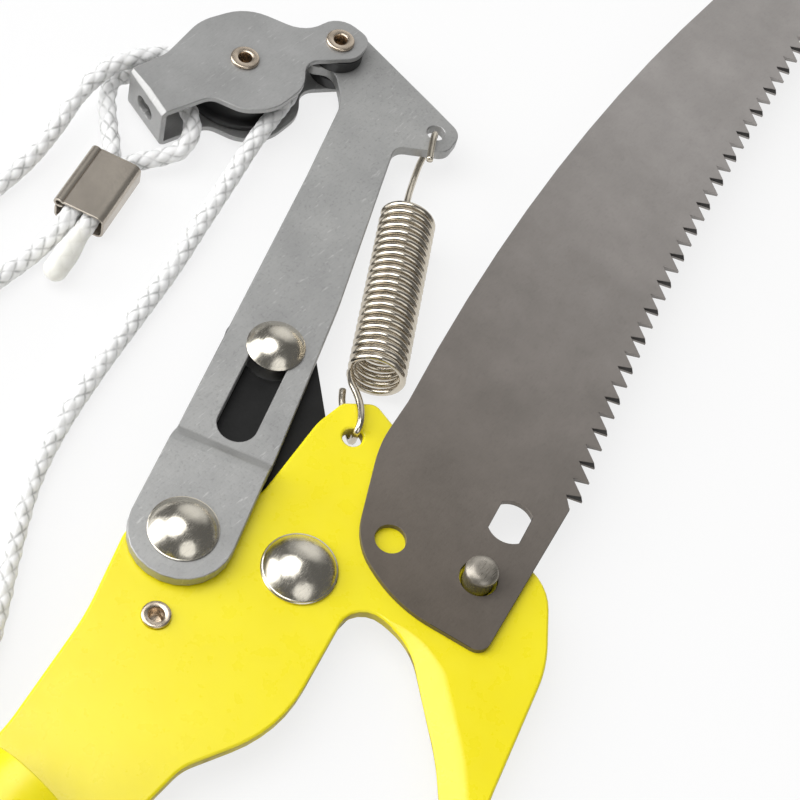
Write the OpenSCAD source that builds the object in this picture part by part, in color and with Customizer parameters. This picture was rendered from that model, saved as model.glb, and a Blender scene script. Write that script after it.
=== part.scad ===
// Rope-operated pruner head: hook plate, hidden blade, slotted lever, pulley block, spring, saw and rope.
// Frame: origin at the pole socket's mouth, +X along the pole towards the head, +Z out of the plate's front.

/* [Plates] */
// Thickness of the hook plate
plate_t = 3; // [2:0.25:4]
// Thickness of the cutting blade
blade_t = 3; // [2:0.25:3]
// Thickness of the lever arm
lever_t = 3; // [2:0.25:3.5]
// Thickness of the saw
saw_t = 1.5; // [1:0.1:2]
// Gap between faces that slide past each other
slide_gap = 0.3; // [0.2:0.05:0.4]
// Radial clearance of a pin in its bore
pin_gap = 0.05; // [0.02:0.01:0.08]

/* [Pole socket] */
// Bore radius of the socket
socket_bore_r = 14; // [12:0.5:15]
// Wall of the socket tube
socket_wall = 2; // [1.5:0.25:3]
// Length of the socket tube
socket_len = 75; // [65:1:90]
// Depth that a pole can enter
pole_depth = 48; // [40:1:55]
// Step in the bore that stops the pole
pole_stop = 1.5; // [1:0.25:2]
// Height of the head's middle plane over the surface it lies on
lie_height = 8; // [8:0.25:10]
// Distance from the socket's mouth to the blade pivot
pivot_reach = 150; // [140:1:170]
// Offset of the pole axis from the blade pivot
pole_offset = 3; // [0:0.5:6]
// Shank radius of the clamp screw
clamp_screw_r = 4; // [3:0.25:5]

/* [Pivots] */
// Shank radius of the blade and lever rivets
pivot_r = 4; // [3:0.25:5]
// Head radius of the lever and blade rivets
pivot_head_r = 7.5; // [7:0.25:8.5]
// Height of a domed rivet head
dome_h = 4; // [3:0.25:5]
// Head radius of the drive rivet
drive_head_r = 6.6; // [5.5:0.1:7.5]
// Shank radius of the drive rivet
drive_shank_r = 2.2; // [1.8:0.1:2.4]
// Width of the lever's slot
slot_w = 9; // [8:0.25:10]
// Thickness of the washers
washer_t = 0.8; // [0.5:0.1:1]

/* [Pulley block] */
// Thickness of the folded strap
strap_t = 1.5; // [1:0.1:2]
// Clear width between the strap's cheeks
strap_gap = 9.2; // [8.4:0.1:9.6]
// Outer radius of the wheel
wheel_r = 13.5; // [12:0.25:14]
// Radius of a cheek round the wheel
cheek_r = 14.8; // [14:0.1:16]
// Outer radius of the hollow rivets' shanks
eyelet_r = 2.6; // [2.2:0.1:3]
// Bore radius of the hollow rivets
eyelet_hole_r = 1.6; // [1:0.1:1.8]

/* [Spring] */
// Outer radius of the spring
spring_r = 6.8; // [6:0.1:7]
// Wire diameter of the spring
wire_d = 1.65; // [1.4:0.05:1.7]
// Number of curls
curls = 22; // [18:1:22]
// Axial pitch of a curl
curl_pitch = 2.1; // [2.1:0.05:2.3]

/* [Saw] */
// Pitch of the saw's teeth
tooth_pitch = 4.5; // [4:0.1:5]
// Depth of a tooth gullet
tooth_depth = 3.6; // [3:0.1:4.2]
// Number of teeth
teeth = 54; // [40:1:56]
// Radius of the stud
stud_r = 3.4; // [3:0.1:3.8]

/* [Rope] */
// Diameter of the rope
rope_d = 4.5; // [4:0.1:4.6]
// Turns in each layer of the coil
layer_turns = 4; // [3:1:4]
// Layers of the coil
layers = 4; // [2:2:4]
// Radius of the coil at the middle of its turns
coil_r = 22.5; // [21:0.5:24]
// Room between neighbouring turns
turn_gap = 1; // [1:0.05:1.2]

/* [Hidden] */
$fn = 64;
eps = 0.01;

// Heights in the head's own frame, whose middle plane is the plate's
plate_front = plate_t / 2;
plate_back = -plate_t / 2;
blade_front = plate_back - slide_gap;
blade_back = blade_front - blade_t;
lever_low = plate_front + slide_gap;
lever_front = lever_t / 2;
saw_front = plate_front + saw_t;
floor_z = -lie_height;
head_gap = 0.1;

// Places in the head's plan, measured from the blade pivot
lever_pivot = [-11.6, 22.3];
drive_pin = [37.9, 40];
lever_ear = [113.4, 54.4];
plate_ear = [32.6, 12.9];
eyelet_at = [-28.4, 13.7];
axle_at = [91.8, 98.6];
strap_at = [114, 87];
web_low = [64.4, 100];
web_high = [68.9, 114.4];
stud_at = [24.8, -28.5];
saw_hole_at = [18.5, -9.3];
key_hole_at = [40.3, -25.2];
key_hole_r = 5.2;
key_hole_flats = 7.4;
key_hole_turn = 13;
lever_turn = atan2(drive_pin[1] - lever_pivot[1], drive_pin[0] - lever_pivot[0]);
pin_reach = norm(drive_pin - lever_pivot);
pin_travel = 22.2;
slot_foot = drive_pin - pin_travel * (drive_pin - lever_pivot) / pin_reach;
ramp_start = 19.5;
ramp_end = 23.5;
socket_x = -pivot_reach;
socket_r = socket_bore_r + socket_wall;
socket_z = floor_z + socket_r;
tang_end = socket_x + pole_depth;
tang_half = 15;
tail_window_r = drive_shank_r + 4.7;

// Fillets, arcs and tubes
function unit(v) = v / norm(v);
function turn(v) = [-v[1], v[0]];
function swing(from, to) = let (d = to - from) d > 180 ? d - 360 : d < -180 ? d + 360 : d;
function corner(a, b, c, r, steps) =
    let (u = unit(a - b), w = unit(c - b), half = acos(max(-1, min(1, u * w))) / 2)
    half > 89 ? [b] :
    let (
        cut = min(r / tan(half), 0.49 * min(norm(a - b), norm(c - b))),
        radius = cut * tan(half),
        centre = b + unit(u + w) * radius / sin(half),
        first = b + u * cut - centre,
        last = b + w * cut - centre,
        start = atan2(first[1], first[0]),
        sweep = swing(start, atan2(last[1], last[0]))
    )
    [for (i = [0:steps]) centre + radius * [cos(start + sweep * i / steps), sin(start + sweep * i / steps)]];
function flat2(p) = [p[0], p[1]];
function rounded(points, steps = 6) =
    let (n = len(points))
    [for (i = [0:n - 1]) each corner(flat2(points[(i + n - 1) % n]), flat2(points[i]),
        flat2(points[(i + 1) % n]), points[i][2], steps)];

// A tube swept along points, with flat ends: each ring is square to the path
function path_dir(p, i) = unit(p[min(i + 1, len(p) - 1)] - p[max(i - 1, 0)]);
function carried(side, d) = unit(side - (side * d) * d);
function first_side(d) = carried(abs(d[2]) < 0.9 ? [0, 0, 1] : [1, 0, 0], d);
function sides(p, i = 0, before = []) = i == len(p) ? [] :
    let (d = path_dir(p, i), s = carried(len(before) == 0 ? first_side(d) : before, d))
    concat([s], sides(p, i + 1, s));
module tube(p, radius, n) {
    side = sides(p);
    rings = [for (i = [0:len(p) - 1], k = [0:n - 1])
        let (d = path_dir(p, i), s = side[i], t = cross(d, s), a = 360 * k / n)
        p[i] + radius * (cos(a) * s + sin(a) * t)];
    last = (len(p) - 1) * n;
    walls = [for (i = [0:len(p) - 2], k = [0:n - 1])
        let (a = i * n + k, b = i * n + (k + 1) % n)
        each [[a, b, b + n], [a, b + n, a + n]]];
    caps = concat([for (k = [1:n - 2]) [0, k + 1, k]], [for (k = [1:n - 2]) [last, last + k, last + k + 1]]);
    polyhedron([for (v = rings) v], [for (f = concat(walls, caps)) [f[0], f[2], f[1]]]);
}

// A smooth line through points chosen by hand
function spline(a, b, c, d, t) = 0.5 * ((2 * b) + (c - a) * t + (2 * a - 5 * b + 4 * c - d) * t * t
    + (3 * b - a - 3 * c + d) * t * t * t);
function whole(p, parts) = concat([for (i = [0:len(p) - 2], k = [0:parts - 1])
    spline(p[max(i - 1, 0)], p[i], p[i + 1], p[min(i + 2, len(p) - 1)], k / parts)], [p[len(p) - 1]]);

module head() { translate([pivot_reach, -pole_offset, 0]) translate([0, 0, -socket_z]) children(); }
module at(p, z = 0) { translate([p[0], p[1], z]) children(); }
module plate(points, z, t) { translate([0, 0, z]) linear_extrude(t) polygon(points); }
module drill(p, r, z, t) { at(p, z - eps) cylinder(r = r, h = t + 2 * eps); }
module dome(r, h) { rotate_extrude() intersection() {
    translate([0, h - (r * r + h * h) / (2 * h)]) circle(r = (r * r + h * h) / (2 * h), $fn = 128);
    square([r, h]);
} }

// Yellow plate with the shank, the hook jaw and the spring ear
shank_low = pole_offset - tang_half;
shank_high = pole_offset + tang_half;
plate_points = rounded([
    [tang_end, shank_high, 2], [-66, shank_high, 40], [-38, 24, 60], [-19, 31.5, 6], [-2, 30.6, 9],
    [4.5, 17.2, 8], [15, 18.6, 20], [30, 20.8, 14], [37.8, 20.2, 3], [43, 14.8, 3], [41, 6, 4],
    [35, -6, 12], [35.8, -40, 12], [20, -51.4, 30], [-10, -60, 80], [-31, -67, 1.6], [-29, -63.2, 4],
    [-12, -47.4, 60], [3.8, -27.6, 16], [3.8, -12.4, 7.2], [-29.1, -20.6, 52],
    [-48.2, shank_low, 11], [tang_end, shank_low, 2]]);
module hook_plate() { color([0.97, 0.92, 0.16]) head() difference() {
    plate(plate_points, plate_back, plate_t);
    drill([0, 0], pivot_r + pin_gap, plate_back, plate_t);
    drill(lever_pivot, pivot_r + pin_gap, plate_back, plate_t);
    drill(plate_ear, 2.2, plate_back, plate_t);
    drill(eyelet_at, eyelet_r, plate_back, plate_t);
    drill(stud_at, stud_r, plate_back, plate_t);
} }

module socket_place() { translate([socket_x, pole_offset, socket_z]) rotate([0, 90, 0]) children(); }
clamp_at = socket_x + 24;
boss_h = 9;
boss_r = 7.5;
module clamp_place(z) { translate([clamp_at, pole_offset, socket_z + z]) children(); }
module pole_socket() { color([0.97, 0.92, 0.16]) head() difference() {
    socket_place() cylinder(r = socket_r, h = socket_len);
    socket_place() translate([0, 0, -eps]) cylinder(r = socket_bore_r, h = pole_depth + eps);
    socket_place() cylinder(r = socket_bore_r - pole_stop, h = socket_len + eps);
    translate([tang_end, pole_offset - socket_r, plate_back])
        cube([socket_len - pole_depth + eps, 2 * socket_r, plate_t]);
    clamp_place(0) cylinder(r = clamp_screw_r + pin_gap, h = socket_r + eps);
} }
module socket_boss() { color([0.97, 0.92, 0.16]) head() difference() {
    clamp_place(socket_r - 2) cylinder(r = boss_r, h = boss_h);
    socket_place() cylinder(r = socket_r, h = socket_len);
    clamp_place(0) cylinder(r = clamp_screw_r + pin_gap, h = socket_r + boss_h);
} }
knob_r = 9;
knob_h = 9;
module socket_screw() { color([0.6, 0.6, 0.6]) head() {
    clamp_place(socket_bore_r + slide_gap) cylinder(r = clamp_screw_r, h = socket_wall + boss_h + 3);
    clamp_place(socket_r + boss_h) difference() {
        cylinder(r = knob_r, h = knob_h);
        for (i = [0:7])
            rotate(i * 45) translate([knob_r + 1.4, 0, -eps]) cylinder(r = 2.6, h = knob_h + 1, $fn = 24);
    }
} }

// Black blade, hidden behind the shank at rest, with its tail under the lever
tail_dir = unit(drive_pin);
tail_side = turn(tail_dir);
tail_end = drive_pin + tail_dir * 3;
blade_points = rounded([
    concat(tail_end - tail_side * 9 + tail_dir * 8, 8), concat(tail_end + tail_side * 9 + tail_dir * 8, 8),
    concat(slot_foot + [-7, 5], 6), concat(slot_foot + [-11, -4.5], 8), [3, 17, 20], [-9, 12, 18],
    [-30, 4, 60], [-53, -6.5, 1], [-52.5, -8.5, 6], [-32, -15.4, 60],
    [-10, -13.6, 30], [4, -13.5, 10], [14, -6, 12], [19, 4, 20]]);
module cutting_blade() { color([0.14, 0.14, 0.14]) head() difference() {
    plate(blade_points, blade_back, blade_t);
    drill([0, 0], pivot_r + pin_gap, blade_back, blade_t);
    drill(drive_pin, tail_window_r, blade_back, blade_t);
} }
module washer(p, r, hole, z) { at(p, z) difference() {
    cylinder(r = r, h = washer_t);
    translate([0, 0, -eps]) cylinder(r = hole, h = washer_t + 2 * eps);
} }
module blade_front_washer() { color("silver") head()
    washer([0, 0], pivot_head_r + 0.7, pivot_r + pin_gap, plate_front); }
back_washer_z = blade_back - head_gap - washer_t;
module blade_back_washer() { color("silver") head()
    washer([0, 0], pivot_head_r + 1, pivot_r + pin_gap, back_washer_z); }
rivet_tail = 1.9;
module blade_pivot_rivet() { color([0.75, 0.74, 0.7]) head() {
    at([0, 0], plate_front + washer_t) dome(pivot_head_r, dome_h);
    at([0, 0], back_washer_z - eps)
        cylinder(r = pivot_r, h = plate_front + washer_t - back_washer_z + 2 * eps);
    at([0, 0], back_washer_z - rivet_tail) cylinder(r = pivot_head_r - 1.5, h = rivet_tail);
} }

// Grey lever with a joggle between its round end on the plate and its upper part level with the plate
lever_end_r = 11.5;
lever_dir = unit(drive_pin - lever_pivot);
lever_points = rounded([
    concat(lever_pivot - lever_end_r * (lever_dir - turn(lever_dir)), 0.98 * lever_end_r),
    concat(lever_pivot - lever_end_r * (lever_dir + turn(lever_dir)), 0.98 * lever_end_r),
    [17, 21.2, 60], [57.4, 37.7, 60], [102.6, 58.6, 3.5], [110.6, 48.6, 3.5], [117.9, 49.8, 4],
    [119.6, 60, 30], [124.5, 92, 8], [113, 98.5, 9], [104.5, 90, 9], [110, 84.5, 4], [103.2, 76.2, 12],
    [79.3, 67, 60], [28, 48.4, 60]]);
module lever_arm() { color([0.62, 0.62, 0.61]) head() difference() {
    intersection() {
        plate(lever_points, -lever_t, lever_low + 3 * lever_t);
        at(lever_pivot) rotate([90, 0, lever_turn]) translate([0, 0, -60]) linear_extrude(120) polygon([
            [-20, lever_low], [ramp_start, lever_low], [ramp_end, -lever_front], [160, -lever_front],
            [160, lever_front], [ramp_end + 0.6, lever_front], [ramp_start + 0.6, lever_low + lever_t],
            [-20, lever_low + lever_t]]);
    }
    drill(lever_pivot, pivot_r + pin_gap, 0, lever_low + lever_t);
    drill(lever_ear, 2.2, -lever_front, lever_t);
    drill(strap_at, eyelet_r + pin_gap, -lever_front, lever_t);
    at(lever_pivot, -lever_front - eps) rotate(lever_turn) {
        for (s = [pin_reach - pin_travel, pin_reach])
            translate([s, 0, 0]) cylinder(r = slot_w / 2, h = lever_t + 2 * eps);
        translate([pin_reach - pin_travel, -slot_w / 2, 0]) cube([pin_travel, slot_w, lever_t + 2 * eps]);
    }
} }
module lever_pivot_rivet() { color([0.75, 0.74, 0.7]) head() {
    at(lever_pivot, lever_low + lever_t + head_gap) dome(pivot_head_r, dome_h);
    at(lever_pivot, plate_back) cylinder(r = pivot_r, h = lever_low + lever_t + head_gap - plate_back + eps);
} }

// Drive rivet with its sleeve in the slot and its washer behind the blade's tail
drive_washer_z = blade_back - head_gap - washer_t;
bush_low = -lever_front - head_gap;
module drive_rivet() { color([0.75, 0.74, 0.7]) head() {
    at(drive_pin, lever_front + head_gap) dome(drive_head_r, dome_h - 0.5);
    at(drive_pin, drive_washer_z - eps)
        cylinder(r = drive_shank_r, h = lever_front + head_gap - drive_washer_z + 2 * eps);
    at(drive_pin, drive_washer_z - rivet_tail) cylinder(r = drive_head_r - 2, h = rivet_tail);
} }
module drive_bush() { color([0.3, 0.3, 0.3]) head() at(drive_pin, bush_low) difference() {
    cylinder(r = slot_w / 2 - 0.1, h = lever_t + 2 * head_gap);
    translate([0, 0, -eps]) cylinder(r = drive_shank_r, h = lever_t + 2 * head_gap + 2 * eps);
} }
module drive_washer() { color("silver") head()
    washer(drive_pin, tail_window_r + 1.6, drive_shank_r, drive_washer_z); }

// Folded strap: two cheeks and a web with an oval hole, round the wheel and over the lever's end
cheek_in = strap_gap / 2;
strap_out = cheek_in + strap_t;
web_dir = unit(web_high - web_low);
web_out = turn(web_dir);
cheek_points = rounded([
    concat(web_low, 1), concat(axle_at + [-14.6, -2.6], 4), concat(axle_at + [-12.2, -10.4], 8),
    concat(axle_at + [-6, -15.4], 10), concat(axle_at + [4.6, -15.4], 9), concat(axle_at + [11, -10.2], 4),
    concat(strap_at + [-6, -2.6], 3), concat(strap_at + [-1, -6.4], 5), concat(strap_at + [6.6, -5.4], 6),
    concat(strap_at + [6.6, 6], 6), concat(strap_at + [-4, 7.4], 9), concat(axle_at + [13, 11], 12),
    concat(axle_at + [1, 15.6], 14), concat(axle_at + [-13, 13.6], 10), concat(web_high, 1)]);
module pulley_strap() { color([0.6, 0.6, 0.59]) head() difference() {
    union() {
        plate(cheek_points, cheek_in, strap_t);
        plate(cheek_points, -strap_out, strap_t);
        plate([web_low, web_high, web_high - web_out * strap_t, web_low - web_out * strap_t],
            -strap_out, 2 * strap_out);
    }
    drill(axle_at, eyelet_r, -strap_out, 2 * strap_out);
    drill(strap_at, eyelet_r, -strap_out, 2 * strap_out);
    at((web_low + web_high) / 2) rotate([0, 0, atan2(web_dir[1], web_dir[0])]) rotate([90, 0, 0])
        for (s = [-1.2, 1.2]) translate([s, 0, -3]) cylinder(r = 2.1, h = 6);
} }
groove_r = wheel_r - 3.6;
wheel_half = cheek_in - 0.25;
module pulley_wheel() { color([0.08, 0.08, 0.08]) head() at(axle_at) rotate_extrude() difference() {
    translate([eyelet_r + pin_gap, -wheel_half]) square([wheel_r - eyelet_r - pin_gap, 2 * wheel_half]);
    translate([groove_r + rope_d / 2 + slide_gap, 0]) circle(r = rope_d / 2 + slide_gap);
    polygon([[groove_r + 2, 2.4], [wheel_r + 1, 3.2], [wheel_r + 1, -3.2], [groove_r + 2, -2.4]]);
} }
flange_t = 0.8;
module hollow_rivet(p, low, high, rim) { at(p) difference() {
    union() {
        at([0, 0], low) cylinder(r = eyelet_r, h = high - low);
        at([0, 0], high) cylinder(r = eyelet_r + rim, h = flange_t);
        at([0, 0], low - flange_t) cylinder(r = eyelet_r + rim, h = flange_t);
    }
    at([0, 0], low - 2 * flange_t) cylinder(r = eyelet_hole_r, h = high - low + 4 * flange_t);
} }
module pulley_axle() { color("silver") head() hollow_rivet(axle_at, -strap_out, strap_out, 0.9); }
module strap_rivet() { color("silver") head() hollow_rivet(strap_at, -strap_out, strap_out, 0.9); }
module plate_eyelet() { color("silver") head() hollow_rivet(eyelet_at, plate_back, plate_front, 0.5); }
spacer_t = cheek_in - lever_front;
module strap_spacers() { color([0.08, 0.08, 0.08]) head()
    for (z = [lever_front, -cheek_in]) at(strap_at, z) difference() {
        cylinder(r = 6.2, h = spacer_t);
        translate([0, 0, -eps]) cylinder(r = eyelet_r, h = spacer_t + 2 * eps);
    }
}

// Extension spring: one wire with its lower hook, and the straight hook held in its top turn
spring_dir = unit(lever_ear - plate_ear);
spring_side = turn(spring_dir);
spring_len = norm(lever_ear - plate_ear);
mean_r = spring_r - wire_d / 2;
coil_start = 17.3;
lean_low = -1.6;
lean_high = 0.95;
coil_len = curls * curl_pitch;
coil_stop = coil_start + coil_len;
function on_spring(s, a, b) = [for (k = [0:1]) plate_ear[k] + spring_dir[k] * s + spring_side[k] * a];
function spring_point(s, a, b) = concat(on_spring(s, a, b), b);
curl_steps = 8;
hook_z = plate_front + wire_d / 2 + 0.6;
lower_hook = [for (p = [[14, 4.8, -hook_z], [10.8, 4.2, -hook_z], [6, 2.4, -hook_z], [3, 0.9, -hook_z],
    [1.3, 0, -2.4], [0.9, -0.3, -1], [0.9, -0.4, 1], [1.3, -0.6, 2.4], [3.4, -0.7, hook_z + 0.2],
    [7, 0.1, hook_z], [10.4, 1.6, hook_z - 0.6], [13.4, mean_r + lean_low - 1, 1.6]])
    spring_point(p[0], p[1], p[2])];
curl_wire = [for (i = [0:curls * curl_steps])
    let (a = -360 * i / curl_steps, lean = lean_low + (lean_high - lean_low) * i / (curls * curl_steps))
    spring_point(coil_start + curl_pitch * i / curl_steps, mean_r * cos(a) + lean, mean_r * sin(a))];
wire = concat(whole(lower_hook, 2), curl_wire);
module return_spring() { color([0.72, 0.68, 0.6]) head() tube(wire, wire_d / 2, 6); }
coil_short = coil_stop - spring_len;
upper_hook = [for (p = [[coil_short + 4.2, 2.3, 0], [coil_short + 9, 2.3, -0.8], [-11, 2, -hook_z + 0.4],
    [-7, 1.7, -hook_z - 0.2], [-3.4, 1.1, -hook_z - 0.2], [-1.3, 0.5, -2.4], [-0.9, 0.2, -1], [-0.9, 0.1, 1],
    [-1.3, 0.2, 2.4], [-3.4, 0.3, hook_z], [-6.5, 0.1, hook_z], [-10.4, -0.2, hook_z]])
    spring_point(spring_len + p[0], p[1], p[2])];
foot_points = [for (p = [[1.8, mean_r - 1, 1.4], [2, mean_r - 3, 0.6], [2.4, 1, 0]])
    spring_point(coil_stop + p[0], p[1] + lean_high, p[2])];
hook_wire = whole(concat(foot_points, upper_hook), 2);
module spring_hook() { color([0.72, 0.68, 0.6]) head() tube(hook_wire, wire_d / 2, 6); }
wire_gaps = [for (i = [0:len(wire) - 1], j = [i + curl_steps - 2:len(wire) - 1])
    norm(wire[i] - wire[j]) - wire_d];
echo(least_spring_gap = min(wire_gaps));

// Saw: its toothed edge and its back are long arcs
tooth_start = [56.3, -33.4];
tooth_slope = 0.35;
tooth_curve = 784;
back_start = [47.8, 9.8];
back_slope = 0.2824;
back_curve = 568;
saw_end = tooth_start[0] + teeth * tooth_pitch;
function arc_y(x, start, slope, curve) = let (d = x - start[0]) start[1] + slope * d - d * d / (2 * curve);
function tooth_y(x) = arc_y(x, tooth_start, tooth_slope, tooth_curve);
function back_y(x) = arc_y(x, back_start, back_slope, back_curve);
saw_base = rounded([[35, 7.4, 30], [12.5, -4.5, 16], [7.6, -20, 40], [11.6, -40.2, 3], [52.4, -32.6, 0.8],
    [53.4, -30.4, 1], concat(back_start, 1)]);
saw_teeth = [for (i = [0:teeth - 1]) let (x = tooth_start[0] + i * tooth_pitch)
    each [[x - 0.35 * tooth_pitch, tooth_y(x) + tooth_depth], [x, tooth_y(x)]]];
saw_back = [for (i = [0:16]) let (x = saw_end - (saw_end - back_start[0]) * i / 16) [x, back_y(x)]];
saw_tip = [[saw_end, tooth_y(saw_end) + 1], [saw_end + 3.4, tooth_y(saw_end) + 4]];
saw_outline = concat([for (i = [0:34]) saw_base[i]], saw_teeth, saw_tip, saw_back);
module saw_blade() { color([0.5, 0.48, 0.46]) head() difference() {
    plate(saw_outline, plate_front, saw_t);
    drill(saw_hole_at, 3.4, plate_front, saw_t);
    drill(stud_at, stud_r + 0.8, plate_front, saw_t);
    intersection() {
        drill(key_hole_at, key_hole_r, plate_front, saw_t);
        at(key_hole_at) rotate(key_hole_turn) cube([3 * key_hole_r, key_hole_flats, 20], center = true);
    }
} }
stud_high = 7.4;
module saw_stud() { color([0.55, 0.55, 0.54]) head() {
    at(stud_at, plate_back) cylinder(r = stud_r, h = stud_high - plate_back);
    at(stud_at, plate_back - 2.5) cylinder(r = stud_r + 2.4, h = 2.5);
} }

// Rope: an eye round the strap's web, closed by the clip, back over the wheel and down to the coil
rope_r = rope_d / 2;
lie_z = floor_z + rope_r + slide_gap;
clip_at = [43, 99];
clip_turn = 16;
clip_l = 18.5;
clip_w = 12.6;
clip_h = 7.2;
clip_z = floor_z + clip_h / 2 + slide_gap;
strand_half = rope_r + 0.15;
function in_clip(s, side) = let (c = cos(clip_turn), n = sin(clip_turn))
    [clip_at[0] + s * c - side * n, clip_at[1] + s * n + side * c, clip_z];
rope_eye = [
    in_clip(-27, -strand_half), in_clip(-20, -strand_half), in_clip(-12, -strand_half),
    in_clip(-4, -strand_half), in_clip(4, -strand_half), in_clip(11, -strand_half),
    [60.5, 96.6, -3.8], [65.2, 94.2, -2.8],
    [70.4, 95.2, -1.2], [74.4, 100, -0.8], [75.4, 106, -0.8], [75.2, 112, -1], [74, 116.8, -2.2],
    [70.4, 119.8, -3], [65.4, 117.8, -3.4], [59.4, 111.6, -3.8], in_clip(11, strand_half),
    in_clip(4, strand_half), in_clip(-4, strand_half), in_clip(-12, strand_half)];
rope_bight = [[21, 97.2, lie_z], [8, 97.4, lie_z], [-4, 97.8, lie_z], [-11.6, 100.6, lie_z],
    [-15, 107, lie_z], [-11.6, 113.4, lie_z], [-4, 116.4, lie_z], [10, 116.4, lie_z], [24, 116, lie_z],
    [37, 116.4, lie_z + 1], [48, 118, -2.2], [58, 120, 0.8], [68, 120, 2.4], [76, 117.4, 2.4],
    [84, 113.6, 0.5]];
wrap_r = groove_r + rope_r + slide_gap;
rope_wrap = [for (a = [100:-15:-80]) [axle_at[0] + wrap_r * cos(a), axle_at[1] + wrap_r * sin(a), 0]];
rope_out = [[80, 83.4, -0.6], [68, 80.4, -2.6], [54, 76.8, -4.4], [40, 73, lie_z]];
standing_route = concat(rope_eye, rope_bight, rope_wrap, rope_out);
module rope_standing() { color([0.93, 0.93, 0.9]) head() tube(standing_route, rope_r, 8); }
turn_step = rope_d + turn_gap;
coil_at = [-139, 60.5];
tie_t = 1;
coil_low = floor_z + tie_t + slide_gap + rope_r;
coil_out = coil_r + (layer_turns - 1) / 2 * turn_step;
coil_in = coil_r - (layer_turns - 1) / 2 * turn_step;
coil_first = [coil_at[0], coil_at[1] - coil_out, coil_low];
rope_free = [[24, 69.2, lie_z], [8, 65.4, lie_z], [-8, 60.8, lie_z], [-22, 55, lie_z], [-36, 46.4, lie_z],
    [-50, 37, lie_z], [-64, 29.2, lie_z], [-78, 24.6, coil_low - 0.6], [-88, 22.8, coil_low],
    [-100, 22.4, coil_low], [-112, 23.6, coil_low], [-123, 26.4, coil_low],
    [coil_first[0] + rope_d + 3, coil_first[1] - 0.7, coil_low]];
lead_route = concat([[40, 73, lie_z]], rope_free, [coil_first + [rope_d, 0, 0]]);
module rope_lead() { color([0.93, 0.93, 0.9]) head() tube(lead_route, rope_r, 8); }

// Coil: each layer winds in or out, and climbs to the next in the half turn where it reverses
coil_steps = 24;
layer_span = layer_turns - 1 + 0.5;
top_share = 0.2;
coil_turns = layers * layer_span + top_share;
function coil_layer(t) = min(layers - 1, floor(t / layer_span));
function coil_past(t) = t - coil_layer(t) * layer_span;
function coil_share(t) = min(1, coil_past(t) / (layer_turns - 1));
function coil_climb(t) = min(1, max(0, (coil_past(t) - layer_turns + 1) / 0.5));
function coil_tuck(t) = turn_step * max(0, (t - layers * layer_span) / top_share);
function coil_radius(t) = let (s = coil_layer(t) % 2 == 0 ? coil_share(t) : 1 - coil_share(t))
    coil_out + (coil_in - coil_out) * s - coil_tuck(t);
function coil_height(t) = coil_low + turn_step * (coil_layer(t) + coil_climb(t));
function coil_point(t) = let (a = -90 - 360 * t, r = coil_radius(t))
    [coil_at[0] + r * cos(a), coil_at[1] + r * sin(a), coil_height(t)];
coil_line = [for (i = [0:coil_turns * coil_steps]) coil_point(i / coil_steps)];
coil_end = coil_line[len(coil_line) - 1];
coil_end_dir = unit(coil_end - coil_line[len(coil_line) - 2]);
coil_route = concat([coil_first + [rope_d, 0, 0]], coil_line, [coil_end + coil_end_dir * rope_d]);
module rope_coil() { color([0.93, 0.93, 0.9]) head() tube(coil_route, rope_r, 6); }
coil_gaps = [for (i = [0:len(coil_line) - 1], j = [i + coil_steps - 6:len(coil_line) - 1])
    norm(coil_line[i] - coil_line[j]) - rope_d];
echo(least_coil_gap = min(coil_gaps));
tie_turn = 120;
tie_w = 7;
tie_room = rope_r + slide_gap;
tie_in = tie_room + 0.8;
tie_wide = coil_out - coil_in + tie_in + tie_room + 2 * tie_t;
tie_high = (layers - 1) * turn_step + 2 * (tie_room + tie_t);
module coil_tie() { color([0.93, 0.93, 0.9]) head() at(coil_at) rotate(tie_turn)
    translate([coil_in - tie_in - tie_t, -tie_w / 2, coil_low - tie_room - tie_t]) difference() {
        cube([tie_wide, tie_w, tie_high]);
        translate([tie_t, -eps, tie_t]) cube([tie_wide - 2 * tie_t, tie_w + 2 * eps, tie_high - 2 * tie_t]);
    }
}
knot_r = 4.6;
knot_at = coil_end + coil_end_dir * (rope_d + knot_r - 1) + [0, 0, knot_r - rope_r];
module rope_knot() { color([0.93, 0.93, 0.9]) head() translate(knot_at) sphere(r = knot_r); }
module rope_clip() { color([0.6, 0.59, 0.57]) head() at(clip_at, clip_z) rotate(clip_turn) difference() {
    cube([clip_l, clip_w, clip_h], center = true);
    cube([clip_l + 1, 4 * strand_half + 0.4, rope_d + 0.4], center = true);
} }

hook_plate();
pole_socket();
socket_boss();
socket_screw();
cutting_blade();
blade_pivot_rivet();
blade_front_washer();
blade_back_washer();
lever_arm();
lever_pivot_rivet();
drive_rivet();
drive_bush();
drive_washer();
pulley_strap();
pulley_wheel();
pulley_axle();
strap_rivet();
strap_spacers();
return_spring();
spring_hook();
saw_blade();
saw_stud();
plate_eyelet();
rope_clip();
rope_standing();
rope_lead();
rope_coil();
coil_tie();
rope_knot();
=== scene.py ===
import bpy
import math
from mathutils import Matrix, Vector


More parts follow.
